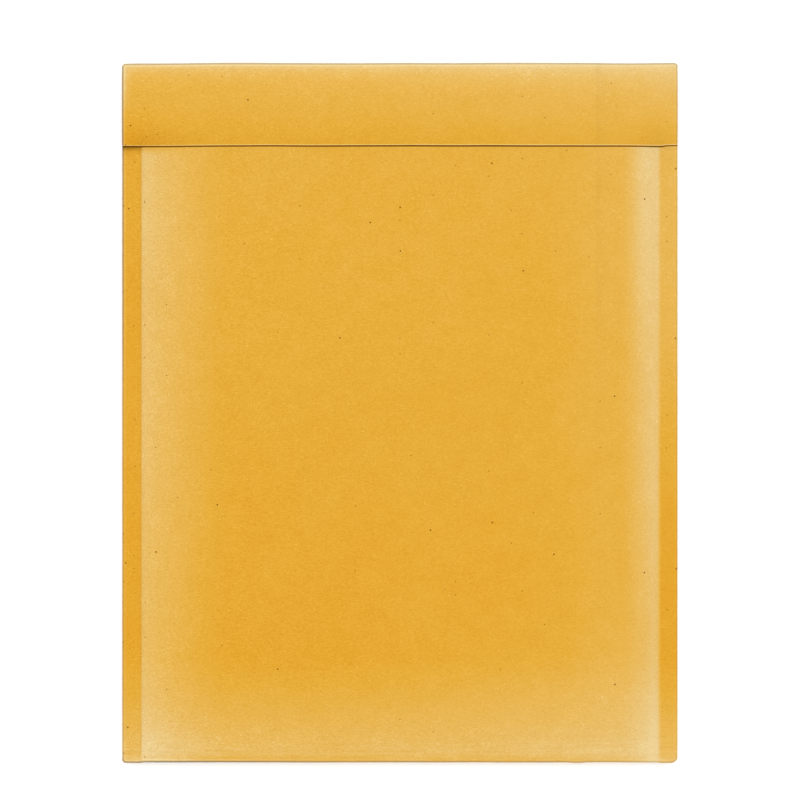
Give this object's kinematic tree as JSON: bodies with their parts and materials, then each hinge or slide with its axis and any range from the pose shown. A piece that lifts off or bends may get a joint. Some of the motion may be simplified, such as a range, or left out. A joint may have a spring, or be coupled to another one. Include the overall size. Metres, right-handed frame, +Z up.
{
  "type": "padded envelope",
  "caption": "Flat padded envelope of golden kraft paper with a bubble-film lining, glued side seams and a full-width flap folded down over the front.",
  "frame": {"origin": "middle of the outline, on the surface that the back panel lies on", "axes": "+X across the envelope to the right as seen from the front, +Y along it towards the flap's fold, +Z up out of the front panel"},
  "size_m": [0.2, 0.2522, 0.0093],
  "materials": {
    "kraft_paper": "matte kraft with fine fibres",
    "bubble_film": "clear glossy film",
    "clear_adhesive": "glossy, slightly yellow",
    "release_paper": "smooth coated paper"
  },
  "bodies": {
    "root": {"kraft_envelope": "kraft_paper", "bubble_lining": "bubble_film", "adhesive_strip": "clear_adhesive", "release_liner": "release_paper"}
  },
  "joints": []
}
